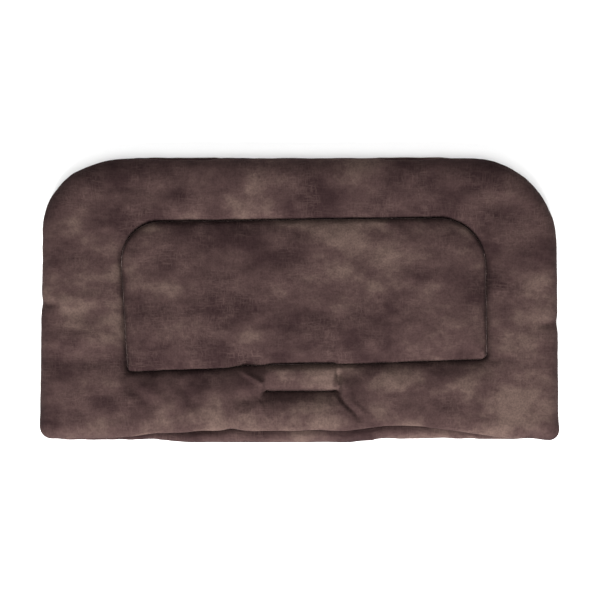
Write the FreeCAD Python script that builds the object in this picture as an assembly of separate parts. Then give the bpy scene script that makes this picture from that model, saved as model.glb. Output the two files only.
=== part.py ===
import FreeCAD, Part
import math
import os

# A flat cushion bed for a pet: a wadded velvet pad with a set-in centre panel and a slot
# for a strap. Lengths are millimetres. The origin is at the centre of the underside, +X
# runs along the width, +Y points to the end with the large round corners, +Z is up.

# Whole pad
PAD_WIDTH = 455.0  # at the slot end
PAD_DEPTH = 250.0
PAD_HEIGHT = 26.0
SIDE_LEAN = 2.5  # each side leans in by this much towards the round end
ROUND_CORNER = 70.0  # plan radius of the two corners at the round end
SQUARE_CORNER = 15.0  # plan radius of the two corners at the slot end
TOP_ROLL = 12.0  # the most that the edge between top and side is rounded
BOTTOM_ROLL = 8.0  # the most that the edge between underside and side is rounded
ROLL_MARGIN = 0.5  # the least that a corner's plan radius exceeds the rounding along it

# Centre panel, placed by the width of border left around it
BORDER_SIDE = 67.0
BORDER_ROUND_END = 54.0
BORDER_SLOT_END = 67.0
PANEL_ROUND_CORNER = 36.0
PANEL_SQUARE_CORNER = 9.0
PANEL_ROLL = 8.0  # the most that border and panel are rounded into the groove between them

# Strap slot
SLOT_LENGTH = 65.0
SLOT_GAP = 6.0
SLOT_CORNER = 1.5
SLOT_FROM_PANEL = 19.0  # from the panel's seam to the near edge of the slot
SLOT_TOP_ROLL = 7.0  # the most that the upper lip is rounded
SLOT_BOTTOM_ROLL = 5.0
SLOT_RIDGE = 0.5  # the least flat cloth left between the panel's roll and the slot's

# Cloth, seams and thread
CLOTH = 1.2
SEAM_ALLOWANCE = 8.0
SLOT_ALLOWANCE = 5.0  # narrower, so that the slot turns cleanly
SEAM_DITCH = 0.8  # radius of the dip along the edge seam
THREAD = 0.7
THREAD_FROM_EDGE = 2.5  # how far a hidden row of stitches lies inside the fold
CLOSING_LENGTH = 150.0  # the stretch of edge seam sewn last, after the pad is turned
QUILT_GROOVE = 3.0  # depth of the groove that the quilting pulls into the underside

# Filling
BASE_TOP = 8.0  # top of the base layer of wadding

# Clearances
SEAM_GAP = 0.1  # between two layers of cloth that lie face to face
FILL_GAP = 0.1  # between wadding and what is round it
THREAD_GAP = 0.05  # between a thread and the cloth it runs through
CUT_MARGIN = 5.0  # how far a cutting solid runs past what it cuts

# Sizes that follow from those above
thread_radius = THREAD / 2
channel_radius = thread_radius + THREAD_GAP
half_gap = SEAM_GAP / 2
top_roll = min(TOP_ROLL, SQUARE_CORNER - ROLL_MARGIN)
bottom_roll = min(BOTTOM_ROLL, SQUARE_CORNER - ROLL_MARGIN)
panel_roll = min(PANEL_ROLL, PANEL_SQUARE_CORNER - ROLL_MARGIN)
seam_z = (bottom_roll + PAD_HEIGHT - top_roll) / 2
top_edge_z = seam_z + half_gap
back_edge_z = seam_z - half_gap
groove_z = PAD_HEIGHT - panel_roll
panel_turn_z = max(groove_z - SEAM_ALLOWANCE, top_edge_z, BASE_TOP + FILL_GAP)
panel_low_y = -PAD_DEPTH / 2 + BORDER_SLOT_END
panel_high_y = PAD_DEPTH / 2 - BORDER_ROUND_END
facing_edge = CLOTH + SEAM_GAP  # from the slot's opening to the cloth sewn to its sleeve
slot_roll_room = SLOT_FROM_PANEL - facing_edge - panel_roll - half_gap - SLOT_RIDGE
slot_top_roll = min(SLOT_TOP_ROLL, slot_roll_room)
slot_top_z = PAD_HEIGHT - slot_top_roll
slot_turn_top_z = max(slot_top_z - SLOT_ALLOWANCE, top_edge_z)
slot_turn_bottom_z = min(SLOT_BOTTOM_ROLL + SLOT_ALLOWANCE, back_edge_z)
slot_high_y = panel_low_y - SLOT_FROM_PANEL
slot_low_y = slot_high_y - SLOT_GAP


def point(x, y, z=0.0):
    return FreeCAD.Vector(x, y, z)


def inset_corners(corners, inset):
    """The corners of a convex polygon with every side moved in by inset."""
    moved = []
    for i, here in enumerate(corners):
        along_in = (here - corners[i - 1]).normalize()
        along_out = (corners[(i + 1) % len(corners)] - here).normalize()
        turn = along_in.cross(along_out).z
        moved.append(here + (along_out - along_in) * (inset / turn))
    return moved


def rounded_edges(corners, radii, z=0.0):
    """Tangent arcs and straight sides in turn, anticlockwise, from the first corner's arc."""
    lift = point(0, 0, z)
    arcs = []
    for i, here in enumerate(corners):
        to_before = (corners[i - 1] - here).normalize()
        to_after = (corners[(i + 1) % len(corners)] - here).normalize()
        half = math.acos(to_before.dot(to_after)) / 2
        reach = radii[i] / math.tan(half)
        middle = (to_before + to_after).normalize()
        nearest = here + middle * (radii[i] / math.sin(half) - radii[i])
        arcs.append([here + to_before * reach + lift, nearest + lift, here + to_after * reach + lift])
    edges = []
    for i, arc in enumerate(arcs):
        edges.append(Part.Arc(*arc).toShape())
        edges.append(Part.LineSegment(arc[2], arcs[(i + 1) % len(arcs)][0]).toShape())
    return edges


def box_corners(left, low, right, high):
    return [point(left, low), point(right, low), point(right, high), point(left, high)]


def pad_edges(inset=0.0, z=0.0):
    """The pad's outline, moved in by inset."""
    half, end = PAD_WIDTH / 2, PAD_DEPTH / 2
    corners = [
        point(-half, -end),
        point(half, -end),
        point(half - SIDE_LEAN, end),
        point(-half + SIDE_LEAN, end),
    ]
    radii = [SQUARE_CORNER, SQUARE_CORNER, ROUND_CORNER, ROUND_CORNER]
    return rounded_edges(inset_corners(corners, inset), [r - inset for r in radii], z)


def panel_edges(outset=0.0, z=0.0):
    """The line where the centre panel is sewn to the border, moved out by outset."""
    half = PAD_WIDTH / 2 - BORDER_SIDE
    corners = box_corners(-half, panel_low_y, half, panel_high_y)
    radii = [PANEL_SQUARE_CORNER, PANEL_SQUARE_CORNER, PANEL_ROUND_CORNER, PANEL_ROUND_CORNER]
    return rounded_edges(inset_corners(corners, -outset), [r + outset for r in radii], z)


def slot_edges(outset=0.0, z=0.0):
    """The clear opening of the strap slot, moved out by outset."""
    corners = box_corners(-SLOT_LENGTH / 2, slot_low_y, SLOT_LENGTH / 2, slot_high_y)
    return rounded_edges(inset_corners(corners, -outset), [SLOT_CORNER + outset] * 4, z)


def prism(outline, low, high, holes=()):
    """A straight-sided solid between two heights. outline and holes are flat, at z 0."""
    wires = [Part.Wire(edges) for edges in (outline, *holes)]
    face = Part.makeFace(wires, "Part::FaceMakerBullseye")
    face.translate(point(0, 0, low))
    return face.extrude(point(0, 0, high - low))


def slab(low, high):
    """Everything between two heights."""
    wide = PAD_WIDTH + 2 * CUT_MARGIN
    deep = PAD_DEPTH + 2 * CUT_MARGIN
    return Part.makeBox(wide, deep, high - low, point(-wide / 2, -deep / 2, low))


def rim(solid, outline, z):
    """The edges of solid that follow outline at height z."""
    wire = Part.Wire(outline)
    wire.translate(point(0, 0, z))
    found = []
    for edge in solid.Edges:
        box = edge.BoundBox
        if max(box.ZMax - z, z - box.ZMin) > 1e-6:
            continue
        middle = edge.valueAt((edge.FirstParameter + edge.LastParameter) / 2)
        if wire.distToShape(Part.Vertex(middle))[0] < 1e-6:
            found.append(edge)
    return found


def rolled(solid, z, rolls):
    """solid with its edges at height z rounded. rolls pairs each outline with a radius."""
    for outline, radius in rolls:
        solid = solid.makeFillet(radius, rim(solid, outline, z))
    return solid


def rod(edges, radius):
    """A round rod whose centre follows edges. Closed edges give a closed ring."""
    first = edges[0]
    start = first.valueAt(first.FirstParameter)
    profile = Part.Wire([Part.makeCircle(radius, start, first.tangentAt(first.FirstParameter))])
    return Part.Wire(edges).makePipeShell([profile], True, True)


def one_solid(shape):
    """The largest solid of a boolean's result, with needless seams between faces removed."""
    return max(shape.removeSplitter().Solids, key=lambda solid: solid.Volume)


def edge_seam_row(radius):
    """The stitch line of the edge seam, all the way round."""
    return rod(pad_edges(CLOTH + THREAD_FROM_EDGE, seam_z), radius)


def edge_seam_threads():
    """The edge seam's thread, and the thread of the stretch that is sewn last."""
    edges = pad_edges(CLOTH + THREAD_FROM_EDGE, seam_z)
    slot_end = edges[1]
    left, right = [vertex.Point for vertex in slot_end.Vertexes]
    gap_start = point(-CLOSING_LENGTH / 2, left.y, seam_z)
    gap_end = point(CLOSING_LENGTH / 2, left.y, seam_z)
    between = point(THREAD, 0)
    before = Part.LineSegment(left, gap_start).toShape()
    closing = Part.LineSegment(gap_start + between, gap_end - between).toShape()
    after = Part.LineSegment(gap_end, right).toShape()
    perimeter = [after, *edges[2:], edges[0], before]
    return rod(perimeter, thread_radius), rod([closing], thread_radius)


def panel_seam_row(radius):
    """The stitch line that joins the centre panel to the border."""
    return rod(panel_edges(0.0, groove_z - THREAD_FROM_EDGE), radius)


def slot_top_row(radius):
    """The stitch line that joins the slot's sleeve to the border."""
    return rod(slot_edges(facing_edge - half_gap, slot_top_z - THREAD_FROM_EDGE), radius)


def slot_bottom_row(radius):
    """The stitch line that joins the slot's sleeve to the back."""
    return rod(slot_edges(facing_edge - half_gap, SLOT_BOTTOM_ROLL + THREAD_FROM_EDGE), radius)


def quilting_needle_thread():
    """Lies down in the groove round the panel, as deep as the two rolls let it."""
    reach = panel_roll + half_gap
    rise = math.sqrt((panel_roll + channel_radius) ** 2 - reach**2)
    return rod(panel_edges(0.0, groove_z + rise), thread_radius)


def quilting_bobbin_thread():
    """Lies at the top of the groove in the underside."""
    return rod(panel_edges(0.0, QUILT_GROOVE - channel_radius), thread_radius)


def edge_ditch():
    """The dip along the edge seam, where both covers turn in."""
    return rod(pad_edges(0.0, seam_z), SEAM_DITCH)


def turned_edge(low, high):
    """Cloth turned in at the edge seam."""
    return prism(pad_edges(CLOTH / 2), low, high, [pad_edges(CLOTH + SEAM_ALLOWANCE)])


def edge_seam_room():
    """The room that both turned edges take from the wadding."""
    reach = CLOTH + FILL_GAP
    inner = pad_edges(CLOTH + SEAM_ALLOWANCE + FILL_GAP)
    return prism(pad_edges(-CUT_MARGIN), back_edge_z - reach, top_edge_z + reach, [inner])


def upper_body(inside=0.0, low=top_edge_z):
    """The border above low, as a ring. inside moves its rounded surfaces inwards."""
    high = PAD_HEIGHT - inside
    outline = pad_edges(inside)
    panel_hole = panel_edges(half_gap + inside)
    slot_hole = slot_edges(facing_edge + inside)
    rolls = [
        (outline, top_roll - inside),
        (panel_hole, panel_roll - inside),
        (slot_hole, slot_top_roll - inside),
    ]
    return rolled(prism(outline, low, high, [panel_hole, slot_hole]), high, rolls)


def lower_body(inside=0.0, high=back_edge_z):
    """The pad below high, with the slot and the quilted groove. inside is as above."""
    outline = pad_edges(inside)
    slot_hole = slot_edges(facing_edge + inside)
    rolls = [(outline, bottom_roll - inside), (slot_hole, SLOT_BOTTOM_ROLL - inside)]
    solid = rolled(prism(outline, inside, high, [slot_hole]), inside, rolls)
    return solid.cut(rod(panel_edges(), QUILT_GROOVE + inside))


def top_border_cover():
    """Velvet ring with its edges turned in at the rim, the panel and the slot."""
    shell = upper_body().cut(upper_body(CLOTH, top_edge_z - CUT_MARGIN))
    below_panel_turn = prism(panel_edges(half_gap + CLOTH + FILL_GAP), 0.0, panel_turn_z)
    below_slot_turn = prism(slot_edges(facing_edge + CLOTH + FILL_GAP), 0.0, slot_turn_top_z)
    shell = shell.cut([below_panel_turn, below_slot_turn])
    shell = shell.fuse(turned_edge(top_edge_z, top_edge_z + CLOTH))
    rows = [edge_seam_row(channel_radius), panel_seam_row(channel_radius), slot_top_row(channel_radius)]
    return one_solid(shell.cut([edge_ditch(), *rows]))


def centre_panel_cover():
    """Velvet panel with its edge turned down inside the pad."""
    outline = panel_edges(-half_gap)
    inner = panel_edges(-half_gap - CLOTH)
    high = PAD_HEIGHT - CLOTH
    outside = rolled(prism(outline, panel_turn_z, PAD_HEIGHT), PAD_HEIGHT, [(outline, panel_roll)])
    inside = rolled(prism(inner, 0.0, high), high, [(inner, panel_roll - CLOTH)])
    return one_solid(outside.cut([inside, panel_seam_row(channel_radius)]))


def back_cover():
    """Velvet underside with its edges turned in at the rim and the slot."""
    shell = lower_body().cut(lower_body(CLOTH, back_edge_z + CUT_MARGIN))
    above_slot_turn = prism(slot_edges(facing_edge + CLOTH + FILL_GAP), slot_turn_bottom_z, PAD_HEIGHT)
    shell = shell.cut(above_slot_turn)
    shell = shell.fuse(turned_edge(back_edge_z - CLOTH, back_edge_z))
    rows = [edge_seam_row(channel_radius), slot_bottom_row(channel_radius)]
    return one_solid(shell.cut([edge_ditch(), *rows]))


def slot_facing():
    """Velvet sleeve that lines the slot from the upper lip to the lower one."""
    sleeve = prism(slot_edges(CLOTH), SLOT_BOTTOM_ROLL, slot_top_z, [slot_edges()])
    return one_solid(sleeve.cut([slot_top_row(channel_radius), slot_bottom_row(channel_radius)]))


def base_wadding():
    """Full-size layer of wadding on the back cover."""
    body = lower_body(CLOTH + FILL_GAP, BASE_TOP + CUT_MARGIN)
    return one_solid(body.common(slab(0.0, BASE_TOP)).cut(edge_seam_room()))


def border_wadding():
    """Ring of wadding that fills the border."""
    body = upper_body(CLOTH + FILL_GAP, BASE_TOP + FILL_GAP)
    return one_solid(body.cut(edge_seam_room()))


def centre_wadding():
    """Pad of wadding under the centre panel."""
    reach = CLOTH + FILL_GAP
    outline = panel_edges(-half_gap - reach)
    high = PAD_HEIGHT - reach
    return rolled(prism(outline, BASE_TOP + FILL_GAP, high), high, [(outline, panel_roll - reach)])


perimeter_seam_thread, closing_seam_thread = edge_seam_threads()
nodes = {
    "top_border_cover": top_border_cover(),
    "centre_panel_cover": centre_panel_cover(),
    "back_cover": back_cover(),
    "slot_facing": slot_facing(),
    "border_wadding": border_wadding(),
    "centre_wadding": centre_wadding(),
    "base_wadding": base_wadding(),
    "perimeter_seam_thread": perimeter_seam_thread,
    "closing_seam_thread": closing_seam_thread,
    "panel_seam_thread": panel_seam_row(thread_radius),
    "quilting_needle_thread": quilting_needle_thread(),
    "quilting_bobbin_thread": quilting_bobbin_thread(),
    "slot_top_seam_thread": slot_top_row(thread_radius),
    "slot_bottom_seam_thread": slot_bottom_row(thread_radius),
}

os.makedirs("parts", exist_ok=True)
for name, shape in nodes.items():
    shape.exportStep(os.path.join("parts", name + ".step"))
    print(name, "valid" if shape.isValid() else "NOT VALID", round(shape.Volume, 1), "mm3")
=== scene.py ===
import math

import bmesh
import bpy
import numpy as np
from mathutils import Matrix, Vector, kdtree, noise
from mathutils.geometry import delaunay_2d_cdt


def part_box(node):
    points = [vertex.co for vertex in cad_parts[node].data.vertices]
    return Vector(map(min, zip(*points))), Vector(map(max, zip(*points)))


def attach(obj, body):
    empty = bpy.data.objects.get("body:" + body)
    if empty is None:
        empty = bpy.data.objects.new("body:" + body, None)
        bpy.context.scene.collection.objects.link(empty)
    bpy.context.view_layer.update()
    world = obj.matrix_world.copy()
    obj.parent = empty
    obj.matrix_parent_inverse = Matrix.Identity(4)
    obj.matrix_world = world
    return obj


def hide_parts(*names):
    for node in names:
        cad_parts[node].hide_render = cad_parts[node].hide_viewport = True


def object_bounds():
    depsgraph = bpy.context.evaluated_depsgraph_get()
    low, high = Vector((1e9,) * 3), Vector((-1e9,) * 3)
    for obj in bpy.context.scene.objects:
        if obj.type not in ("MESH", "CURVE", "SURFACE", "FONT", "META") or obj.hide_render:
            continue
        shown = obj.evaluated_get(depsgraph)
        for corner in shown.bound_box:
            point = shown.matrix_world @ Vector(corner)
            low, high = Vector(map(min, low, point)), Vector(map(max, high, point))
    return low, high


# A flat velvet cushion bed, in metres: covers shaped by formulas over the CAD frame's plan
# and then by cloth simulation, the wadding inside them, and every row of stitches.

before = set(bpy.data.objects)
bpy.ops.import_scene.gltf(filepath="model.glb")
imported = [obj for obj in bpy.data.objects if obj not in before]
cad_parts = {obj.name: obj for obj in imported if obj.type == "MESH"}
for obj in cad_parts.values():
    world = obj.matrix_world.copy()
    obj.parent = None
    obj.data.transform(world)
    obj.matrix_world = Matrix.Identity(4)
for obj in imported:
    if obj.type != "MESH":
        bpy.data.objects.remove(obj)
cad_low, cad_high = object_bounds()

MM = 0.001

# Cloth
CLOTH = 1.2 * MM
ALLOWANCE = 6.0 * MM  # how far a turned edge reaches into the pad
TURN_GAP = 0.12 * MM  # between two turned edges

# Mesh
FINE = 0.4 * MM  # spacing of the points that stand for a seam line
SEAM_STEP = 3.4 * MM  # spacing of mesh points along a seam
HOLE_STEP = SEAM_STEP * 0.62  # and along the slot's edge
FRONT_STEP = 3.3 * MM
SLOT_STEP = 1.7 * MM  # round the slot, where the creases are small
SLOT_AREA = 25 * MM  # how far that finer mesh reaches from the slot
BACK_STEP = 5.0 * MM
SEAM_ROWS = [1.1 * MM, 2.5 * MM, 4.3 * MM, 6.6 * MM]  # rows of mesh points beside a seam
ROW_APART = 0.72  # the least distance between mesh points, as a share of the rows' spacing
NET_APART = 0.74  # and as a share of the net's spacing
SAME_POINT = 1e-7  # points nearer than this are one
ARC_STEPS = 24  # straight steps along a rounded corner
LEAST_POINTS = 8  # on any closed line
ENOUGH_POINTS = 500  # of an outline, to tell what lies inside it

# Edge of the pad. Its section is an ellipse, and the seam lies at an angle on it: at the
# waist where the seam runs round the side, and near the top where it has rolled forward.
EDGE_ROLL = 13.0 * MM
EDGE_WAIST = 9.5 * MM
EDGE_RISE = 10.5 * MM
FRONT_ROLL = 15.0 * MM
ROUND_END_ROLL = 9.0 * MM  # how much wider the roll is along the rounded end
BACK_ROLL = 26.0 * MM
BACK_EASE = 26.0 * MM
SEAM_DIP = 2.4 * MM  # how deep the edge seam lies between the two covers
SEAM_DIP_REACH = 1.9 * MM
LIP_SHIFT = 2.2 * MM  # how far the slot's lower lip lies under its upper one
PANEL_DITCH = 2.2 * MM  # how much deeper the panel's seam is right at its stitches
PANEL_DITCH_REACH = 1.8 * MM
CROWN = cad_high.z - 1.0 * MM


def smooth(value, start, end):
    t = np.clip((value - start) / (end - start), 0.0, 1.0)
    return t * t * (3.0 - 2.0 * t)


def bell(value, centre, reach):
    return np.exp(-(((value - centre) / reach) ** 2))


def cloud(points, size, offset=0.0):
    """Soft noise from -1 to 1 with lumps of about this size."""
    scale = 1.0 / size
    return np.array([noise.noise(Vector((p[0] * scale + offset, p[1] * scale, offset))) for p in points])


# Seam lines on the plan


def resampled(line, step):
    """A closed line with its points evenly spaced, about step apart."""
    closed = np.vstack([line, line[:1]])
    gaps = np.linalg.norm(np.diff(closed, axis=0), axis=1)
    along = np.concatenate([[0.0], np.cumsum(gaps)])
    count = max(LEAST_POINTS, round(along[-1] / step))
    at = np.arange(count) * along[-1] / count
    return np.stack([np.interp(at, along, closed[:, k]) for k in range(line.shape[1])], 1)


def rounded_outline(corners, radii):
    """A closed line of straight sides and arcs, anticlockwise."""
    line = []
    for i, radius in enumerate(radii):
        here = Vector(corners[i])
        to_before = (Vector(corners[i - 1]) - here).normalized()
        to_after = (Vector(corners[(i + 1) % len(corners)]) - here).normalized()
        half = to_before.angle(to_after) / 2
        centre = here + (to_before + to_after).normalized() * (radius / math.sin(half))
        first = here + to_before * (radius / math.tan(half)) - centre
        start = math.atan2(first.y, first.x)
        for k in range(ARC_STEPS + 1):
            angle = start + (math.pi - 2 * half) * k / ARC_STEPS
            line.append(centre + Vector((math.cos(angle), math.sin(angle))) * radius)
    return resampled(np.array(line), FINE)


class SeamLine:
    """A closed anticlockwise line on the plan, finely sampled."""

    def __init__(self, points):
        self.points = points
        ahead = np.roll(points, -1, 0) - np.roll(points, 1, 0)
        self.along = ahead / np.linalg.norm(ahead, axis=1)[:, None]
        self.inward = np.stack([-self.along[:, 1], self.along[:, 0]], 1)
        self.tree = kdtree.KDTree(len(points))
        for i, p in enumerate(points):
            self.tree.insert((p[0], p[1], 0.0), i)
        self.tree.balance()

    def nearest(self, places):
        """For each place: the index of the nearest sample, how far it is, and the signed side."""
        found = [self.tree.find((p[0], p[1], 0.0))[1:] for p in places]
        index = np.array([f[0] for f in found])
        away = np.array([f[1] for f in found])
        side = ((places - self.points[index]) * self.inward[index]).sum(1)
        return index, away, side

    def pushed(self, distance):
        """This line moved inwards by distance, which may differ from point to point."""
        return SeamLine(self.points + self.inward * np.reshape(distance, (-1, 1)))

    def coarse(self, step):
        """Indices of samples about step apart."""
        count = max(LEAST_POINTS, round(len(self.points) * FINE / step))
        return (np.arange(count) * len(self.points)) // count


def inside(places, polygon):
    """Whether each place lies inside a closed polygon."""
    polygon = polygon[:: max(1, len(polygon) // ENOUGH_POINTS)]
    x, y = places[:, :1], places[:, 1:]
    ax, ay = polygon[:, 0], polygon[:, 1]
    bx, by = np.roll(ax, -1), np.roll(ay, -1)
    spans = (ay > y) != (by > y)
    rise = np.where(by == ay, 1.0, by - ay)
    crossing = (bx - ax) * (y - ay) / rise + ax
    return (spans & (x < crossing)).sum(1) % 2 == 1


# The pad's outline: the CAD corners, moved as far as sewing has moved them


def pad_outline():
    left, right = cad_low.x, cad_high.x
    low, high = cad_low.y, cad_high.y
    corners = [
        (left - 2.0 * MM, low + 1.9 * MM),
        (right + 0.6 * MM, low + 2.4 * MM),
        (right - 1.8 * MM, high + 0.4 * MM),
        (left + 1.3 * MM, high + 0.4 * MM),
    ]
    line = rounded_outline(corners, [12 * MM, 11 * MM, 78 * MM, 66 * MM])
    seam = SeamLine(line)
    x, y = line[:, 0], line[:, 1]
    out = 0.5 * MM * cloud(line, 40 * MM, 3.1) + 0.3 * MM * cloud(line, 14 * MM, 7.7)
    sag = smooth(x, -0.135, -0.085) * (1.0 - smooth(x, 0.036, 0.080))
    out += 3.2 * MM * sag * (y < low + 8 * MM)
    out += 1.7 * MM * bell(x, right - 5 * MM, 11 * MM) * bell(y, low + 3 * MM, 12 * MM)
    out -= 2.4 * MM * bell(x, -0.182, 0.022) * (y > high - 40 * MM)
    out -= 1.1 * MM * bell(y, -0.002, 0.006) * (x < 0)
    out -= 1.0 * MM * bell(y, -0.020, 0.006) * (x > 0)
    return seam.pushed(-out)


outline = pad_outline()


def seam_inset():
    """How far the edge seam has rolled onto the top, along the outline."""
    x, y = outline.points.T
    slot_end = y < cad_low.y + 20 * MM
    round_end = y > cad_high.y - 12 * MM
    rolled = 11.6 * MM * smooth(x, -0.168, -0.070) * (1.0 - smooth(x, 0.095, 0.200))
    rolled += 2.3 * MM * bell(x, -0.060, 0.007) + 1.2 * MM * bell(x, 0.085, 0.014)
    rolled += 0.8 * MM * cloud(outline.points, 22 * MM, 1.3) * smooth(rolled, 0.0, 6 * MM)
    rolled += 1.5 * MM * smooth(x, -0.213, -0.192) * (1.0 - smooth(x, -0.130, -0.095))
    slivers = 2.4 * MM * smooth(x, -0.150, -0.112) * (1.0 - smooth(x, -0.078, -0.070))
    slivers += 2.4 * MM * smooth(x, 0.066, 0.078) * (1.0 - smooth(x, 0.100, 0.135))
    return np.maximum(rolled, 0.0) * slot_end + slivers * round_end


inset = seam_inset()
seam_angle = np.arccos(1.0 - inset / EDGE_ROLL)
seam_height = EDGE_WAIST + EDGE_RISE * np.sin(seam_angle)
front_rim = outline.pushed(inset)


def panel_line():
    low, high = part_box("centre_panel_cover")
    corners = [
        (low.x + 9.3 * MM, low.y - 4.3 * MM),
        (high.x + 3.4 * MM, low.y + 6.6 * MM),
        (high.x + 1.8 * MM, high.y + 1.6 * MM),
        (low.x + 1.6 * MM, high.y - 2.6 * MM),
    ]
    line = rounded_outline(corners, [3.5 * MM, 3.5 * MM, 42 * MM, 35 * MM])
    x, y = line[:, 0], line[:, 1]
    wander = 0.35 * MM * cloud(line, 25 * MM, 5.2)
    step = 1.6 * MM * (smooth(x, -0.066, -0.052) - smooth(x, -0.052, 0.060)) * (y < low.y + 12 * MM)
    return SeamLine(line).pushed(wander + step)


panel = panel_line()


def slot_line(shift, half_gap):
    low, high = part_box("slot_facing")
    left, right = low.x + 4.0 * MM, high.x - 2.6 * MM
    middle = (low.y + high.y) / 2 + shift
    corners = [
        (left, middle - half_gap),
        (right, middle - half_gap),
        (right, middle + half_gap),
        (left, middle + half_gap),
    ]
    return SeamLine(rounded_outline(corners, [half_gap * 0.95] * 4))


front_slot = slot_line(0.4 * MM, 1.7 * MM)
back_slot = slot_line(-1.6 * MM, 1.7 * MM)


# Flat meshes over the plan


def doubled_areas(plan, faces):
    """Twice each face's area on the plan, negative where it runs clockwise."""
    a, b, c = (plan[faces[:, k]] for k in range(3))
    return (b[:, 0] - a[:, 0]) * (c[:, 1] - a[:, 1]) - (b[:, 1] - a[:, 1]) * (c[:, 0] - a[:, 0])


class Sheet:
    """Triangles over the plan. loops gives the mesh points on each seam line, in order."""

    def __init__(self, rim, seams, holes, step):
        kept = np.zeros((0, 2))
        edges = []
        self.loops = []
        self.samples = []
        for line in [rim, *seams, *holes]:
            pick = line.coarse(HOLE_STEP if line in holes else SEAM_STEP)
            first = len(kept)
            kept = np.vstack([kept, line.points[pick]])
            loop = np.arange(first, len(kept))
            edges += list(zip(loop.tolist(), np.roll(loop, -1).tolist()))
            self.loops.append(loop)
            self.samples.append(pick)
        before = 0.0
        for row in SEAM_ROWS:
            for line in [rim, *seams, *holes]:
                pick = line.coarse(SEAM_STEP)
                for side in (1.0, -1.0):
                    row_points = line.points[pick] + line.inward[pick] * row * side
                    kept = self.added(kept, row_points, ROW_APART * (row - before))
            before = row
        reach = np.array([SLOT_AREA, SLOT_AREA])
        for line in holes:
            fine = self.grid(line.points.min(0) - reach, line.points.max(0) + reach, SLOT_STEP)
            kept = self.added(kept, fine, NET_APART * SLOT_STEP)
        kept = self.added(kept, self.grid(rim.points.min(0), rim.points.max(0), step), NET_APART * step)
        kept = kept[self.in_use(kept, rim, holes, sum(map(len, self.loops)))]
        made = delaunay_2d_cdt([Vector(p) for p in kept], edges, [], 0, SAME_POINT)
        order = [source[0] for source in made[3]]
        faces = np.array([[order[v] for v in face] for face in made[2] if len(face) == 3])
        middle = kept[faces].mean(1)
        keep = inside(middle, rim.points[self.samples[0]])
        for loop in self.loops[len(self.loops) - len(holes):]:
            keep &= ~inside(middle, kept[loop])
        faces = faces[keep]
        clockwise = doubled_areas(kept, faces) < 0
        faces[clockwise] = faces[clockwise][:, ::-1]
        self.plan = kept
        self.faces = faces

    @staticmethod
    def grid(low, high, step):
        """Points of an even triangular net over a rectangle."""
        return np.array([
            (x + (step / 2 if i % 2 else 0.0), y)
            for i, y in enumerate(np.arange(low[1], high[1], step * math.sqrt(0.75)))
            for x in np.arange(low[0], high[0], step)
        ])

    @staticmethod
    def added(kept, new, apart):
        """kept with those of the new points that are far enough from all that is there."""
        tree = kdtree.KDTree(len(kept))
        for i, p in enumerate(kept):
            tree.insert((p[0], p[1], 0.0), i)
        tree.balance()
        far = [tree.find((p[0], p[1], 0.0))[2] > apart for p in new]
        return np.vstack([kept, new[np.array(far)]])

    @staticmethod
    def in_use(kept, rim, holes, fixed):
        """Which points lie on the cloth. The first ones, fixed in number, are on seam lines."""
        use = inside(kept, rim.points)
        for line in holes:
            use &= ~inside(kept, line.points)
        use[:fixed] = True
        return use


front = Sheet(front_rim, [panel], [front_slot], FRONT_STEP)
back = Sheet(outline, [panel], [back_slot], BACK_STEP)


# The shape that the filling gives the covers


def cusp(distance, reach):
    """1 on a seam, falling to 0 at reach, steep at the seam as between two swelling sides."""
    t = 1.0 - np.clip(distance / reach, 0.0, 1.0)
    return 1.0 - np.sqrt(np.maximum(0.0, 1.0 - t * t))


def dip(line_index, away):
    """How the two covers turn in at the edge seam: shifts inwards on the plan, and down."""
    x, y = outline.points[line_index].T
    deeper = 1.6 * MM * bell(x, -0.100, 0.035) * (y < 0)
    amount = (SEAM_DIP + deeper) * np.exp(-((away / SEAM_DIP_REACH) ** 2))
    angle = seam_angle[line_index]
    return amount * np.cos(angle), -amount * np.sin(angle)


def crease(places, start, end, width):
    """1 on the straight line from start to end, falling to 0 beyond its width and its ends."""
    start, end = np.array(start), np.array(end)
    run = end - start
    length = np.linalg.norm(run)
    run = run / length
    along = (places - start) @ run
    across = (places - start) @ np.array([-run[1], run[0]])
    ends = smooth(along, -width, width) * (1.0 - smooth(along, length - width, length + width))
    return np.exp(-((across / width) ** 2)) * ends


def lump(places, centre, reach):
    offset = (places - np.array(centre)) / np.array(reach)
    return np.exp(-(offset**2).sum(1))


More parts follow.
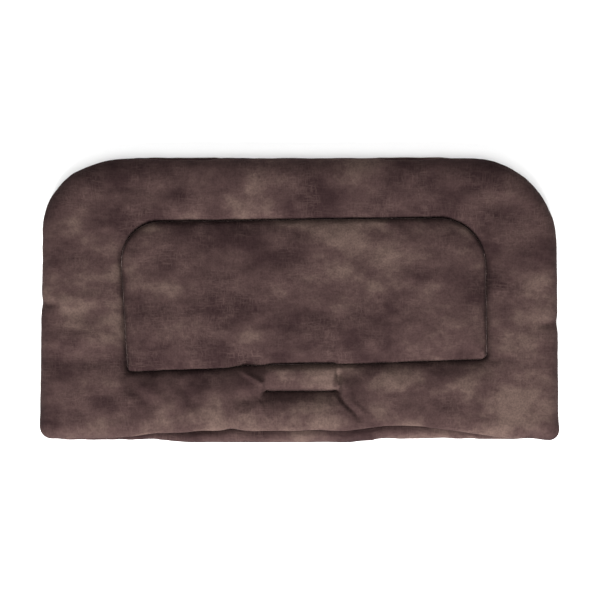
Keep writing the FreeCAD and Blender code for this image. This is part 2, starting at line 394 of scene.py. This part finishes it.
def front_shape(plan):
    """Where the filling holds the border and the centre panel."""
    x, y = plan.T
    at, away, _ = front_rim.nearest(plan)
    roll = FRONT_ROLL + ROUND_END_ROLL * smooth(front_rim.points[at][:, 1], 0.080, 0.118)
    turn = np.minimum(1.0, away / roll) * math.pi / 2
    out = np.where(away < roll, roll * (1.0 - np.cos(turn)) - away, 0.0)
    in_dip, down_dip = dip(at, away)
    xy = plan + front_rim.inward[at] * (out + in_dip)[:, None]
    low = seam_height[at]
    z = low + (CROWN - low) * np.sin(turn) + down_dip

    p_at, p_away, p_side = panel.nearest(plan)
    slot_side = panel.inward[p_at][:, 1] > 0.8
    left, right = front_slot.points[:, 0].min(), front_slot.points[:, 0].max()
    seam_x = panel.points[p_at][:, 0]
    past_left = smooth(seam_x, left - 3 * MM, left + 3 * MM)
    before_right = 1.0 - smooth(seam_x, right - 2 * MM, right + 2 * MM)
    by_strip = past_left * before_right * slot_side
    far_side = panel.inward[p_at][:, 1] < -0.6
    depth = 8.0 * MM + 1.0 * MM * far_side
    depth = depth + 2.2 * MM * slot_side * bell(seam_x, left - 26 * MM, 20 * MM)
    depth = depth + slot_side * (2.2 * MM + 2.2 * MM * smooth(seam_x, -0.090, -0.040) - 3.0 * MM * by_strip)
    reach = 24.0 * MM - 12.0 * MM * by_strip * (p_side < 0) + 10.0 * MM * slot_side * (p_side > 0)
    z -= depth * cusp(p_away, reach)
    z -= PANEL_DITCH * np.exp(-((p_away / PANEL_DITCH_REACH) ** 2))
    bulge = 2.5 * MM * np.exp(-(((p_away - 2.5 * MM) / (2.6 * MM)) ** 2)) * (p_side > 1e-6) * slot_side
    bulge *= 1.0 - 0.75 * by_strip
    xy -= panel.inward[p_at] * bulge[:, None]

    s_at, s_away, _ = front_slot.nearest(plan)
    lower = smooth(front_slot.inward[s_at][:, 1], -0.9, 0.9) * smooth(x, left - 14 * MM, left + 2 * MM)
    s_depth = 5.5 * MM + 8.5 * MM * lower
    s_reach = 6.0 * MM + 15.0 * MM * lower
    z -= s_depth * cusp(s_away, s_reach)
    xy[:, 1] += LIP_SHIFT * (lower - 0.3) * np.exp(-((s_away / (3 * MM)) ** 2))

    # The strip between panel and slot slopes down to the slot, with a crease at each end
    slot_y = front_slot.points[:, 1].mean()
    strip_top = panel.points[:, 1].min() + 2 * MM
    in_strip = smooth(x, left - 1.6 * MM, left + 0.8 * MM)
    in_strip *= 1.0 - smooth(x, right - 0.8 * MM, right + 1.6 * MM)
    fall = np.clip((strip_top - y) / (strip_top - slot_y), 0.0, 1.0) * (y > slot_y)
    z -= 3.4 * MM * fall * in_strip
    end = right + 2.2 * MM
    z -= 5.6 * MM * crease(plan, (end, strip_top - 3 * MM), (end, slot_y - 1 * MM), 2.5 * MM)
    z -= 2.0 * MM * lump(plan, (end + 9 * MM, strip_top - 6 * MM), (11 * MM, 6 * MM))
    z -= 3.6 * MM * crease(plan, (end, slot_y - 1 * MM), (end + 5 * MM, slot_y - 9 * MM), 2.2 * MM)
    z -= 3.0 * MM * crease(plan, (end + 5 * MM, slot_y - 9 * MM), (end + 19 * MM, slot_y - 22 * MM), 2.6 * MM)
    z += 1.2 * MM * crease(
        plan, (end + 10 * MM, slot_y - 8 * MM), (end + 24 * MM, slot_y - 20 * MM), 3.2 * MM
    )
    end = left - 1.0 * MM
    z -= 2.4 * MM * crease(plan, (end, slot_y + 7 * MM), (end, slot_y - 2 * MM), 1.9 * MM)
    z += 2.4 * MM * crease(plan, (end - 20 * MM, slot_y + 18 * MM), (end - 1 * MM, slot_y + 6 * MM), 2.8 * MM)
    z -= 3.8 * MM * lump(plan, (end - 17 * MM, slot_y - 7 * MM), (8 * MM, 7 * MM))
    z -= 1.6 * MM * lump(plan, (end - 6 * MM, slot_y - 4 * MM), (8 * MM, 5 * MM))

    # Dents and swellings of the border, at places of their own
    z -= 2.2 * MM * crease(plan, (cad_low.x, -0.003), (cad_low.x + 18 * MM, -0.004), 2.6 * MM)
    z += 2.2 * MM * lump(plan, (-0.190, -0.034), (27 * MM, 10 * MM))
    z -= 1.4 * MM * lump(plan, (-0.185, -0.052), (24 * MM, 9 * MM))
    z -= 1.4 * MM * lump(plan, (-0.185, -0.012), (22 * MM, 9 * MM))
    z -= 1.5 * MM * crease(plan, (-0.150, -0.072), (-0.128, -0.094), 5.0 * MM)
    z += 1.3 * MM * crease(plan, (-0.134, -0.072), (-0.110, -0.096), 5.0 * MM)
    z -= 1.5 * MM * crease(plan, (-0.105, -0.074), (-0.090, -0.092), 5.0 * MM)
    z -= 2.2 * MM * crease(plan, (cad_high.x, -0.020), (cad_high.x - 20 * MM, -0.021), 2.8 * MM)
    z -= 2.4 * MM * lump(plan, (cad_high.x - 23 * MM, cad_low.y + 9 * MM), (4 * MM, 4 * MM))
    z -= 1.2 * MM * crease(plan, (0.166, -0.052), (0.186, -0.050), 2.6 * MM)
    calm = 1.0 - np.exp(-((np.minimum(away, p_away) / (7 * MM)) ** 2))
    z += (1.7 * MM * cloud(plan, 52 * MM, 2.2) + 0.5 * MM * cloud(plan, 20 * MM, 9.4)) * calm
    return np.column_stack([xy, z])


def back_shape(plan):
    """Where the filling holds the back: flat below, quilted, and rolled up to the edge seam."""
    at, away, _ = outline.nearest(plan)
    t = np.clip(away / BACK_ROLL, 0.0, 1.0)
    angle = seam_angle[at] - (seam_angle[at] + math.pi / 2) * t
    out = EDGE_ROLL * (1.0 - np.cos(angle)) - away
    beyond = (EDGE_ROLL - BACK_ROLL) * (1.0 - smooth(away, BACK_ROLL, BACK_ROLL + BACK_EASE))
    out = np.where(away < BACK_ROLL, out, beyond)
    in_dip, down_dip = dip(at, away)
    xy = plan + outline.inward[at] * (out + in_dip)[:, None]
    z = EDGE_WAIST + np.where(angle > 0, EDGE_RISE, EDGE_WAIST) * np.sin(angle) + down_dip
    _, q_away, _ = panel.nearest(plan)
    z += 3.6 * MM * cusp(q_away, 9.0 * MM)
    _, s_away, _ = back_slot.nearest(plan)
    z += 4.6 * MM * cusp(s_away, 7.0 * MM)
    calm = 1.0 - np.exp(-((away / (20 * MM)) ** 2))
    z += 0.35 * MM * (1.0 + cloud(plan, 28 * MM, 6.1)) * calm
    return np.column_stack([xy, np.maximum(z, 0.0)])


front_goal = front_shape(front.plan)
back_goal = back_shape(back.plan)
back_goal[back.loops[0]] = front_goal[front.loops[0]]


# Cloth simulation: the covers are cut a little large, held at every seam and pushed out by
# the filling, so they swell and pucker between the seams

SHRINK = -0.025  # the cloth is cut this much larger than the filled shape
PRESSURE = 4.0
HELD_SOFTLY = 0.42  # how firmly the filling holds the cloth between the seams
HELD_NEAR = 0.8  # and beside the edge seam, where the turned edges stiffen it
NEAR = 14.0 * MM
FRAMES = 16
MOST_MOVED = 5.0 * MM
SEAM_SHARE = 0.6  # a point moves at most this share of its distance from a seam
EVENING = 2  # how often the moves are evened out


def evened(moved, faces, fixed):
    """Each point's move, evened out with its neighbours', with the sewn points left in place."""
    edges = np.unique(np.sort(np.vstack([faces[:, :2], faces[:, 1:], faces[:, ::2]]), axis=1), axis=0)
    count = np.bincount(edges.ravel(), minlength=len(moved))[:, None]
    for _ in range(EVENING):
        total = np.zeros_like(moved)
        np.add.at(total, edges[:, 0], moved[edges[:, 1]])
        np.add.at(total, edges[:, 1], moved[edges[:, 0]])
        moved = 0.5 * moved + 0.5 * total / np.maximum(count, 1)
        moved[fixed] = 0.0
    return moved


def settled(places, faces, fixed, from_edge, from_seam):
    """places after the cloth has come to rest. fixed are the points sewn in place; the last
    two give how far each point is from the edge seam and from the nearest seam."""
    mesh = bpy.data.meshes.new("cloth")
    mesh.from_pydata(places.tolist(), [], faces.tolist())
    cloth = bpy.data.objects.new("cloth", mesh)
    scene = bpy.context.scene
    scene.collection.objects.link(cloth)
    held = cloth.vertex_groups.new(name="held")
    firm = HELD_SOFTLY + (HELD_NEAR - HELD_SOFTLY) * (1.0 - smooth(from_edge, 0.0, NEAR))
    for i, weight in enumerate(firm.tolist()):
        held.add([i], weight, "REPLACE")
    held.add([int(i) for i in fixed], 1.0, "REPLACE")
    modifier = cloth.modifiers.new("Cloth", "CLOTH")
    settings = modifier.settings
    settings.vertex_group_mass = "held"
    settings.shrink_min = SHRINK
    settings.pin_stiffness = 1.0
    settings.quality = 5
    settings.mass = 0.02
    settings.air_damping = 2.0
    settings.tension_stiffness = 15.0
    settings.compression_stiffness = 15.0
    settings.shear_stiffness = 5.0
    settings.bending_stiffness = 0.4
    settings.use_pressure = True
    settings.uniform_pressure_force = PRESSURE
    settings.effector_weights.gravity = 0.0
    modifier.point_cache.frame_start = 1
    modifier.point_cache.frame_end = FRAMES
    for step in range(1, FRAMES + 1):
        scene.frame_set(step)
    after = np.empty(len(places) * 3, np.float32)
    done = cloth.evaluated_get(bpy.context.evaluated_depsgraph_get())
    done.data.vertices.foreach_get("co", after)
    scene.frame_set(1)
    bpy.data.objects.remove(cloth)
    moved = evened(after.reshape(-1, 3) - places, faces, fixed)
    far = np.linalg.norm(moved, axis=1)
    most = np.minimum(MOST_MOVED, SEAM_SHARE * from_seam)
    return places + moved * (np.minimum(far, most) / np.maximum(far, 1e-9))[:, None]


first_back = len(front_goal)
both = np.vstack([front_goal, back_goal])
all_faces = np.vstack([front.faces, back.faces[:, ::-1] + first_back])
sewn = np.concatenate([*front.loops, *[loop + first_back for loop in back.loops]])
from_edge = np.concatenate([front_rim.nearest(front.plan)[1], outline.nearest(back.plan)[1]])
from_panel = np.concatenate([panel.nearest(sheet.plan)[1] for sheet in (front, back)])
from_slot = np.concatenate([front_slot.nearest(front.plan)[1], back_slot.nearest(back.plan)[1]])
from_seam = np.minimum(np.minimum(from_edge, from_panel), from_slot)
both = settled(both, all_faces, sewn, from_edge, from_seam)
front.shape, back.shape = both[:first_back], both[first_back:]
back.shape[:, 2] = np.maximum(back.shape[:, 2], 0.0)


# Materials


class Shader:
    """Short names for the nodes of one material."""

    def __init__(self, name):
        self.material = bpy.data.materials.new(name)
        self.material.use_nodes = True
        self.nodes = self.material.node_tree.nodes
        self.surface = self.nodes["Principled BSDF"]

    def link(self, source, target):
        self.material.node_tree.links.new(source, target)

    def set(self, **values):
        for name, value in values.items():
            self.surface.inputs[name.replace("_", " ")].default_value = value

    def places(self, attribute=None):
        if attribute:
            node = self.nodes.new("ShaderNodeAttribute")
            node.attribute_name = attribute
            return node.outputs["Vector"]
        return self.nodes.new("ShaderNodeTexCoord").outputs["Object"]

    def noise(self, places, stretch, detail=2.0, roughness=0.5, shift=0.0):
        """Noise with lumps of size 1 / stretch, which may differ along each axis."""
        mapping = self.nodes.new("ShaderNodeMapping")
        mapping.inputs["Scale"].default_value = stretch
        mapping.inputs["Location"].default_value = (shift, shift * 0.7, shift * 0.3)
        texture = self.nodes.new("ShaderNodeTexNoise")
        texture.inputs["Scale"].default_value = 1.0
        texture.inputs["Detail"].default_value = detail
        texture.inputs["Roughness"].default_value = roughness
        self.link(places, mapping.inputs["Vector"])
        self.link(mapping.outputs["Vector"], texture.inputs["Vector"])
        return texture.outputs["Fac"]

    def between(self, value, low, high, start=0.0, end=1.0):
        node = self.nodes.new("ShaderNodeMapRange")
        node.interpolation_type = "SMOOTHSTEP"
        for name, number in [("From Min", low), ("From Max", high), ("To Min", start), ("To Max", end)]:
            node.inputs[name].default_value = number
        self.link(value, node.inputs["Value"])
        return node.outputs["Result"]

    def math(self, operation, first, second):
        node = self.nodes.new("ShaderNodeMath")
        node.operation = operation
        for socket, value in zip(node.inputs, (first, second)):
            if isinstance(value, (int, float)):
                socket.default_value = value
            else:
                self.link(value, socket)
        return node.outputs["Value"]

    def mix(self, factor, first, second):
        node = self.nodes.new("ShaderNodeMix")
        node.data_type = "RGBA"
        for name, value in [("Factor_Float", factor), ("A_Color", first), ("B_Color", second)]:
            socket = next(s for s in node.inputs if s.identifier == name)
            if isinstance(value, tuple):
                socket.default_value = (*value, 1.0)
            elif isinstance(value, (int, float)):
                socket.default_value = value
            else:
                self.link(value, socket)
        return next(s for s in node.outputs if s.identifier == "Result_Color")

    def color(self, value):
        self.link(value, self.surface.inputs["Base Color"])

    def bump(self, height, distance, strength):
        node = self.nodes.new("ShaderNodeBump")
        node.inputs["Distance"].default_value = distance
        node.inputs["Strength"].default_value = strength
        self.link(height, node.inputs["Height"])
        self.link(node.outputs["Normal"], self.surface.inputs["Normal"])


def velvet_material():
    """Crushed velvet: pile that lies in clouds, thick slubs in the weave, a sheen at the rims."""
    dark_pile = (0.0150, 0.0074, 0.0078)
    middle_pile = (0.0335, 0.0192, 0.0182)
    light_pile = (0.073, 0.0485, 0.0405)
    slub_color = (0.095, 0.062, 0.054)
    deep_color = (0.006, 0.0025, 0.0025)
    shader = Shader("velvet")
    places = shader.places("cloth")
    clouds = shader.noise(places, (9, 14, 10), 3.0, 0.5, 1.5)
    patches = shader.noise(places, (30, 42, 30), 4.0, 0.6, 4.0)
    pile = shader.math("ADD", shader.math("MULTIPLY", clouds, 0.5), shader.math("MULTIPLY", patches, 0.5))
    color = shader.mix(shader.between(pile, 0.38, 0.54), dark_pile, middle_pile)
    color = shader.mix(shader.between(pile, 0.51, 0.64, 0.0, 0.85), color, light_pile)
    across = shader.between(shader.noise(places, (130, 1350, 60), 1.0, 0.5, 5.0), 0.44, 0.72)
    down = shader.between(shader.noise(places, (1350, 130, 60), 1.0, 0.5, 7.0), 0.44, 0.72)
    seen = shader.between(shader.noise(places, (34, 34, 34), 2.0, 0.5, 6.0), 0.40, 0.64, 0.05, 0.22)
    slubs = shader.math("MULTIPLY", shader.math("MAXIMUM", across, down), seen)
    color = shader.mix(slubs, color, slub_color)
    grain = shader.noise(places, (650, 650, 650), 3.0, 0.7, 2.0)
    color = shader.mix(shader.between(grain, 0.35, 0.70, 0.0, 0.35), color, deep_color)
    shader.color(color)
    shader.bump(shader.math("ADD", grain, slubs), 0.0005, 0.4)
    shader.set(Roughness=0.95, Specular_IOR_Level=0.06)
    shader.set(Sheen_Weight=0.18, Sheen_Roughness=0.18, Sheen_Tint=(0.85, 0.62, 0.58, 1.0))
    return shader.material


def wadding_material():
    """Bonded polyester fibre: white, with the fibres lying every way."""
    shader = Shader("wadding")
    places = shader.places()
    fibres = shader.math(
        "MAXIMUM",
        shader.noise(places, (90, 1500, 400), 2.0, 0.6),
        shader.noise(places, (1500, 90, 400), 2.0, 0.6, 3.0),
    )
    shader.color(shader.mix(shader.between(fibres, 0.4, 0.75), (0.70, 0.69, 0.66), (0.90, 0.89, 0.87)))
    shader.bump(fibres, 0.0006, 0.6)
    shader.set(Roughness=0.95, Sheen_Weight=0.3)
    return shader.material


def thread_material():
    """Spun polyester thread, matched to the velvet."""
    shader = Shader("thread")
    twist = shader.noise(shader.places(), (2500, 2500, 2500), 1.0, 0.5)
    shader.color(shader.mix(twist, (0.012, 0.007, 0.007), (0.030, 0.018, 0.017)))
    shader.bump(twist, 0.0002, 0.4)
    shader.set(Roughness=0.5, Sheen_Weight=0.2)
    return shader.material


def floor_material():
    """Pale studio floor with a faint unevenness."""
    shader = Shader("floor")
    mottle = shader.noise(shader.places(), (3, 3, 3), 2.0, 0.5)
    shader.color(shader.mix(mottle, (0.89, 0.89, 0.89), (0.91, 0.91, 0.91)))
    shader.set(Roughness=0.8)
    return shader.material


velvet = velvet_material()
wadding = wadding_material()
thread = thread_material()


# Mesh pieces


def unit(vectors):
    return vectors / np.maximum(np.linalg.norm(vectors, axis=-1, keepdims=True), 1e-12)


def normals(places, faces):
    a, b, c = (places[faces[:, k]] for k in range(3))
    each = np.cross(b - a, c - a)
    total = np.zeros_like(places)
    for k in range(3):
        np.add.at(total, faces[:, k], each)
    return unit(total)


def along(line):
    """Unit tangents of a closed line of points."""
    return unit(np.roll(line, -1, 0) - np.roll(line, 1, 0))


def new_object(name, places, faces, material):
    mesh = bpy.data.meshes.new(name)
    mesh.from_pydata(np.asarray(places).tolist(), [], [list(map(int, face)) for face in faces])
    mesh.materials.append(material)
    mesh.shade_smooth()
    made = bpy.data.objects.new(name, mesh)
    bpy.context.scene.collection.objects.link(made)
    return made


JOIN_BEND = math.radians(40)  # the most that two joined triangles may be bent
JOIN_SHAPE = math.radians(50)  # and the most that their quad's corners may be off square


def join_in_pairs(mesh):
    """Joins triangles into quads, so that the subdivided mesh has fewer faces."""
    work = bmesh.new()
    work.from_mesh(mesh)
    bmesh.ops.join_triangles(
        work, faces=work.faces, angle_face_threshold=JOIN_BEND, angle_shape_threshold=JOIN_SHAPE
    )
    work.to_mesh(mesh)
    work.free()


def stand_for(piece, node):
    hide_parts(node)
    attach(piece, "root")


TURN_ROWS = [0.15, 0.37, 0.67, 1.0]  # rows of mesh points on a turned edge, as shares of it
SHARP_SEAM = 0.9  # how much of a seam's sharpness the subdivision keeps


def turned_cloth(piece, plan_points, creased):
    """Gives a cloth mesh its place on the roll, its sharp seams and its thickness."""
    mesh = piece.data
    attribute = mesh.attributes.new("cloth", "FLOAT_VECTOR", "POINT")
    attribute.data.foreach_set("vector", np.column_stack([plan_points, np.zeros(len(plan_points))]).ravel())
    sharp = mesh.attributes.new("crease_edge", "FLOAT", "EDGE")
    for edge in mesh.edges:
        if frozenset(edge.vertices) in creased:
            sharp.data[edge.index].value = SHARP_SEAM
    soften = piece.modifiers.new("Soften", "SUBSURF")
    soften.levels = soften.render_levels = 1
    thick = piece.modifiers.new("Cloth", "SOLIDIFY")
    thick.thickness = CLOTH
    thick.offset = -1.0


def cover(name, node, sheet, places, faces, turns, cut_from):
    """A cloth piece from part of a sheet. turns gives, for each of its edges, the points along
    it, the way into the pad, the side of the seam that this piece lies on, and how far it
    reaches. cut_from is where on the roll the piece was cut."""
    used = np.unique(faces)
    renumber = np.full(len(places), -1)
    renumber[used] = np.arange(len(used))
    points = [places[used]]
    flat = [sheet.plan[used]]
    quads = []
    creased = set()
    count = len(used)
    directed = {(int(f[k]), int(f[(k + 1) % 3])) for f in faces for k in range(3)}
    for loop, into, side, reach in turns:
        own = renumber[loop]
        points[0][own] += side * TURN_GAP / 2
        forward = (int(loop[0]), int(loop[1])) in directed
        previous = own
        for share in TURN_ROWS:
            points.append(points[0][own] + into * share * reach)
            flat.append(sheet.plan[loop] + into[:, :2] * share * reach)
            row = np.arange(count, count + len(loop))
            count += len(loop)
            for k in range(len(loop)):
                n = (k + 1) % len(loop)
                quad = (previous[n], previous[k], row[k], row[n])
                quads.append(quad if forward else quad[::-1])
            previous = row
        creased.update(frozenset((int(own[k]), int(own[(k + 1) % len(own)]))) for k in range(len(own)))
    piece = new_object(name, np.vstack(points), list(renumber[faces]) + quads, velvet)
    join_in_pairs(piece.data)
    turned_cloth(piece, np.vstack(flat) + np.array(cut_from), creased)
    stand_for(piece, node)


is_panel = inside(front.plan[front.faces].mean(1), front.plan[front.loops[1]])
border_faces = front.faces[~is_panel]
panel_faces = front.faces[is_panel]
back_faces = back.faces[:, ::-1]
front_rim_loop, panel_loop, front_slot_loop = front.loops
back_rim_loop, quilt_loop, back_slot_loop = back.loops

front_out = normals(front.shape, front.faces)
back_out = normals(back.shape, back_faces)
rim_line = front.shape[front_rim_loop]
rim_in = -unit(front_out[front_rim_loop] + back_out[back_rim_loop])
rim_side = unit(np.cross(along(rim_line), rim_in))
panel_seam = front.shape[panel_loop]
panel_in = -front_out[panel_loop]
panel_side = unit(np.cross(along(panel_seam), panel_in))
slot_top = front.shape[front_slot_loop]
slot_bottom = back.shape[back_slot_loop]
slot_down = unit(slot_bottom - slot_top)
slot_side = unit(np.cross(along(slot_top), slot_down))

slot_height = np.linalg.norm(slot_bottom - slot_top, axis=1)
SLOT_LEAN = 0.2  # the slot's turned edges lean away from it, clear of the sleeve's folds
SLOT_TURN = 0.42  # the most of the slot's height that one turned edge takes
slot_out = unit(slot_down - SLOT_LEAN * slot_side)
slot_up_out = unit(-slot_down - SLOT_LEAN * slot_side)
slot_reach = np.minimum(ALLOWANCE, SLOT_TURN * slot_height)[:, None]

cover(
    "velvet_top_border", "top_border_cover", front, front.shape, border_faces,
    [(front_rim_loop, rim_in, rim_side, ALLOWANCE), (panel_loop, panel_in, -panel_side, ALLOWANCE),
     (front_slot_loop, slot_out, -slot_side, slot_reach)], (0.0, 0.0),
)
cover(
    "velvet_centre_panel", "centre_panel_cover", front, front.shape, panel_faces,
    [(panel_loop, panel_in, panel_side, ALLOWANCE)], (0.90, 0.62),
)
cover(
    "velvet_back", "back_cover", back, back.shape, back_faces,
    [(back_rim_loop, rim_in, -rim_side, ALLOWANCE), (back_slot_loop, slot_up_out, -slot_side, slot_reach)],
    (0.75, 0.40),
)


# The sleeve's fold over each slot seam: how far down from the seam, and how far towards the
# middle of the slot
FOLD = [(1.0, -0.65), (0.6, -0.65), (0.3, -0.6), (0.12, -0.35), (0.07, 0.0), (0.2, 0.45), (0.45, 0.6)]
SLEEVE_ROWS = (0.35, 0.5, 0.65)  # rows between the folds, as shares of the slot's height


def slot_sleeve():
    """The velvet that lines the slot, its edges folded back over both seams."""
    down = slot_down * slot_height[:, None]
    rows = [slot_top + slot_down * slot_reach * d + slot_side * t * MM for d, t in FOLD]
    rows += [slot_top + down * share + slot_side * FOLD[-1][1] * MM for share in SLEEVE_ROWS]
    rows += [slot_bottom - slot_down * slot_reach * d + slot_side * t * MM for d, t in reversed(FOLD)]
    size = len(slot_top)
    quads = [
        (r * size + k, r * size + (k + 1) % size, (r + 1) * size + (k + 1) % size, (r + 1) * size + k)
        for r in range(len(rows) - 1)
        for k in range(size)
    ]
    piece = new_object("velvet_slot_facing", np.vstack(rows), quads, velvet)
    around = np.tile(np.arange(size) * HOLE_STEP, len(rows))
    gaps = [np.linalg.norm(b - a, axis=1).mean() for a, b in zip(rows, rows[1:])]
    across = np.repeat(np.concatenate([[0.0], np.cumsum(gaps)]), size)
    turned_cloth(piece, np.column_stack([around, across]), set())
    stand_for(piece, "slot_facing")


slot_sleeve()


# Wadding

WADDING_GAP = 0.5 * MM  # between a cover's inner face and the wadding
WADDING_STOP = 7.0 * MM  # how far wadding stays from a seam, where the turned edges lie
LAYER = 8.0 * MM  # top of the base layer
LEAST_LAYER = 1.0 * MM  # its least thickness, where the back rises to the seams


def filling(name, node, upper, lower, plan, faces, lines):
    """A closed body of wadding between two surfaces over the same faces."""
    clear = np.ones(len(plan), bool)
    for line in lines:
        clear &= line.nearest(plan)[1] > WADDING_STOP
    kept = faces[clear[faces].all(1)]
    used = np.unique(kept)
    renumber = np.full(len(plan), -1)
    renumber[used] = np.arange(len(used))
    top = renumber[kept]
    bottom = top[:, ::-1] + len(used)
    directed = {(int(f[k]), int(f[(k + 1) % 3])) for f in top for k in range(3)}
    walls = [(b, a, a + len(used), b + len(used)) for a, b in directed if (b, a) not in directed]
    walls.sort()
    piece = new_object(name, np.vstack([upper[used], lower[used]]), [*top, *bottom, *walls], wadding)
    stand_for(piece, node)


upper = front.shape - front_out * (CLOTH + WADDING_GAP)
lower = np.column_stack([upper[:, :2], np.full(len(upper), LAYER + WADDING_GAP)])
border_lines = [front_rim, panel, front_slot]
filling("wadding_border", "border_wadding", upper, lower, front.plan, border_faces, border_lines)
filling("wadding_centre", "centre_wadding", upper, lower, front.plan, panel_faces, [panel])
lower = back.shape - back_out * (CLOTH + WADDING_GAP)
upper = np.column_stack([lower[:, :2], np.maximum(LAYER, lower[:, 2] + LEAST_LAYER)])
filling("wadding_base", "base_wadding", upper, lower, back.plan, back.faces, [outline, back_slot])


# Stitches

THREAD_RADIUS = 0.35 * MM
STITCH = 3.0 * MM  # from one stitch to the next
STITCH_LENGTH = 2.3 * MM
STITCH_SIDES = 6
STITCH_ARCH = [-0.9, 0.15, 0.55, 0.15, -0.9]  # height along a stitch, in thread radii


def stitch_row(name, node, line, out, closed=True):
    """Stitches along a line of points. out is the way that each stitch stands proud."""
    if closed:
        line, out = np.vstack([line, line[:1]]), np.vstack([out, out[:1]])
    gaps = np.linalg.norm(np.diff(line, axis=0), axis=1)
    reach = np.concatenate([[0.0], np.cumsum(gaps)])
    total = int(reach[-1] / STITCH)
    pitch = reach[-1] / total
    at = (np.arange(total)[:, None] + 0.5) * pitch + np.linspace(-0.5, 0.5, len(STITCH_ARCH)) * STITCH_LENGTH
    centre = np.stack([np.interp(at, reach, line[:, k]) for k in range(3)], -1)
    proud = unit(np.stack([np.interp(at, reach, out[:, k]) for k in range(3)], -1))
    centre += proud * (np.array(STITCH_ARCH) * THREAD_RADIUS)[None, :, None]
    forward = unit(np.gradient(centre, axis=1))
    side = unit(np.cross(forward, proud))
    up = np.cross(side, forward)
    turn = np.arange(STITCH_SIDES) * 2 * math.pi / STITCH_SIDES
    ring = np.cos(turn)[:, None] * side[:, :, None] + np.sin(turn)[:, None] * up[:, :, None]
    places = centre[:, :, None] + ring * THREAD_RADIUS
    stops, sides = len(STITCH_ARCH), STITCH_SIDES
    faces = []
    for s in range(total):
        base = s * stops * sides
        for r in range(stops - 1):
            for k in range(sides):
                n = (k + 1) % sides
                a = base + r * sides
                faces.append((a + k, a + sides + k, a + sides + n, a + n))
        faces.append([base + k for k in range(sides)])
        faces.append([base + (stops - 1) * sides + k for k in reversed(range(sides))])
    piece = new_object(name, places.reshape(-1, 3), faces, thread)
    stand_for(piece, node)


HIDDEN = 2.5 * MM  # how far inside the fold a hidden row of stitches runs
CLOSING_DEPTH = 0.5 * MM  # the closing seam is sewn from outside, close to the edge
CLOSING_END = 75 * MM  # from the middle of the straight side to each end of the closing seam
QUILT_DEPTH = 1.0 * MM  # the quilting's upper thread, below the panel's seam
QUILT_PROUD = 0.25 * MM  # the quilting's lower thread, out of the groove on the back
SLOT_STITCH = 1.3 * MM  # how far behind the slot's wall its stitches run
middle = np.abs(rim_line[:, 0]) < CLOSING_END
closing = middle & (rim_line[:, 1] < 0)
start = int(np.flatnonzero(~closing & np.roll(closing, 1))[0])
open_row = np.roll(np.arange(len(rim_line)), -start)
perimeter = open_row[~closing[open_row]]
closing_row = open_row[closing[open_row]]
edge_row = rim_line + rim_in * HIDDEN
hand_row = rim_line + rim_in * CLOSING_DEPTH
stitch_row("thread_edge", "perimeter_seam_thread", edge_row[perimeter], -rim_in[perimeter], False)
stitch_row("thread_closing", "closing_seam_thread", hand_row[closing_row], -rim_in[closing_row], False)
stitch_row("thread_panel", "panel_seam_thread", panel_seam + panel_in * HIDDEN, panel_side)
stitch_row("thread_quilt_top", "quilting_needle_thread", panel_seam + panel_in * QUILT_DEPTH, -panel_in)
quilt_line = back.shape[quilt_loop]
quilt_out = back_out[quilt_loop]
stitch_row("thread_quilt_under", "quilting_bobbin_thread", quilt_line + quilt_out * QUILT_PROUD, quilt_out)
upper_row = slot_top + slot_down * HIDDEN - slot_side * SLOT_STITCH
lower_row = slot_bottom - slot_down * HIDDEN - slot_side * SLOT_STITCH
stitch_row("thread_slot_top", "slot_top_seam_thread", upper_row, -slot_side)
stitch_row("thread_slot_under", "slot_bottom_seam_thread", lower_row, -slot_side)


# Studio

FLOOR = 6  # from the middle of the floor to its edges
mesh = bpy.data.meshes.new("floor")
corners = [(-FLOOR, -FLOOR, 0), (FLOOR, -FLOOR, 0), (FLOOR, FLOOR, 0), (-FLOOR, FLOOR, 0)]
mesh.from_pydata(corners, [], [(0, 1, 2, 3)])
floor = bpy.data.objects.new("floor", mesh)
bpy.context.scene.collection.objects.link(floor)
mesh.materials.append(floor_material())

key_light = bpy.data.lights.new("key", "AREA")
key_light.shape = "RECTANGLE"
key_light.size, key_light.size_y = 1.4, 0.9
key_light.energy = 150
key = bpy.data.objects.new("key", key_light)
key.location = (-0.1, -1.7, 1.2)
key.rotation_euler = key.location.to_track_quat("Z", "Y").to_euler()
bpy.context.scene.collection.objects.link(key)

overhead = bpy.data.lights.new("overhead", "SUN")
overhead.energy = 2.9
overhead.angle = 1.3
bpy.context.scene.collection.objects.link(bpy.data.objects.new("overhead", overhead))

# A white sky, bright at the horizon and dim overhead
world = bpy.data.worlds.new("studio")
world.use_nodes = True
sky = world.node_tree.nodes
direction = sky.new("ShaderNodeTexCoord")
upward = sky.new("ShaderNodeSeparateXYZ")
glow = sky.new("ShaderNodeMapRange")
glow.interpolation_type = "SMOOTHSTEP"
for name, number in [("From Min", 0.02), ("From Max", 0.5), ("To Min", 0.95), ("To Max", 0.16)]:
    glow.inputs[name].default_value = number
world.node_tree.links.new(direction.outputs["Generated"], upward.inputs["Vector"])
world.node_tree.links.new(upward.outputs["Z"], glow.inputs["Value"])
world.node_tree.links.new(glow.outputs["Result"], sky["Background"].inputs["Strength"])
sky["Background"].inputs["Color"].default_value = (1.0, 1.0, 1.0, 1.0)
bpy.context.scene.world = world
bpy.context.scene.view_settings.view_transform = "Standard"

# Straight above, looking down
VIEW = 0.528  # width that the camera sees at the height of the pad's waist
LENS = 85
SENSOR = 36
camera_data = bpy.data.cameras.new("camera")
camera = bpy.data.objects.new("camera", camera_data)
camera_data.lens = LENS
camera.location = (0.0, 0.0, VIEW * LENS / SENSOR + EDGE_WAIST)
bpy.context.scene.collection.objects.link(camera)
bpy.context.scene.camera = camera
